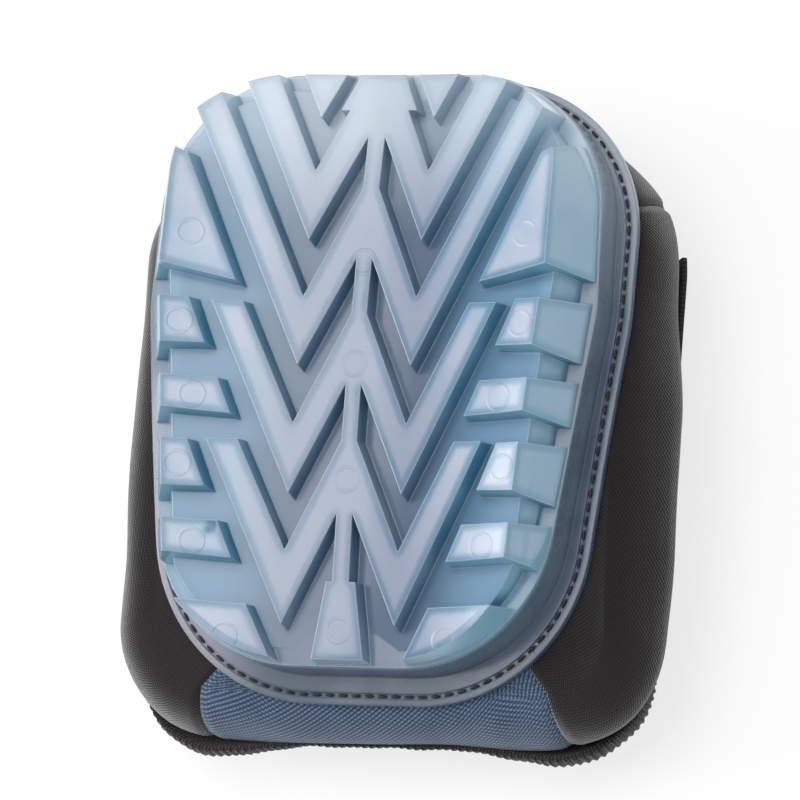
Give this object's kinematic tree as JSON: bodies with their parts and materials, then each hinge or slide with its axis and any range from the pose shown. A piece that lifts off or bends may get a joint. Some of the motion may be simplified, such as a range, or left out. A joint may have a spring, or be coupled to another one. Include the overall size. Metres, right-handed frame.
{
  "type": "knee pad",
  "caption": "Work knee pad with a clear treaded gel cap sewn to a padded fabric body, with a hollow for the knee and two elastic straps that swing open.",
  "frame": {"origin": "middle of the bounding box's underside, on the straps the pad lies on", "axes": "+Z out of the cap's tread, +Y towards the thigh end, +X to the side where the straps fasten"},
  "size_m": [0.1854, 0.2208, 0.097],
  "materials": {
    "clear_cap": "gloss",
    "black_thread": "matte",
    "ribbed_elastic": "matte",
    "foam": "matte",
    "gel": "gloss",
    "lining_mesh": "matte",
    "blue_weave": "matte",
    "black_fabric": "matte",
    "strap_elastic": "matte",
    "hook_and_loop": "matte"
  },
  "bodies": {
    "pad": {"cap": "clear_cap", "cap_stitches": "black_thread", "hem": "ribbed_elastic", "foam_body": "foam", "knee_cushion": "foam", "gel_insert": "gel", "hollow_lining": "lining_mesh", "cap_filler": "foam", "front_panel": "blue_weave", "left_panel": "black_fabric", "right_panel": "black_fabric", "top_panel": "black_fabric", "upper_loop_patch": "hook_and_loop", "lower_loop_patch": "hook_and_loop"},
    "upper_strap": {"upper_strap": "strap_elastic", "upper_hook_patch": "hook_and_loop", "upper_bar_tacks": "black_thread"},
    "lower_strap": {"lower_strap": "strap_elastic", "lower_hook_patch": "hook_and_loop", "lower_bar_tacks": "black_thread"}
  },
  "joints": [
    {"name": "upper_strap_opening", "type": "hinge", "parent": "pad", "child": "upper_strap", "pos_m": [-0.072, 0.0365, 0.0011], "axis": [0, 1, 0], "range_deg": [0, 150]},
    {"name": "lower_strap_opening", "type": "hinge", "parent": "pad", "child": "lower_strap", "pos_m": [-0.072, -0.0295, 0.0011], "axis": [0, 1, 0], "range_deg": [0, 150]}
  ]
}
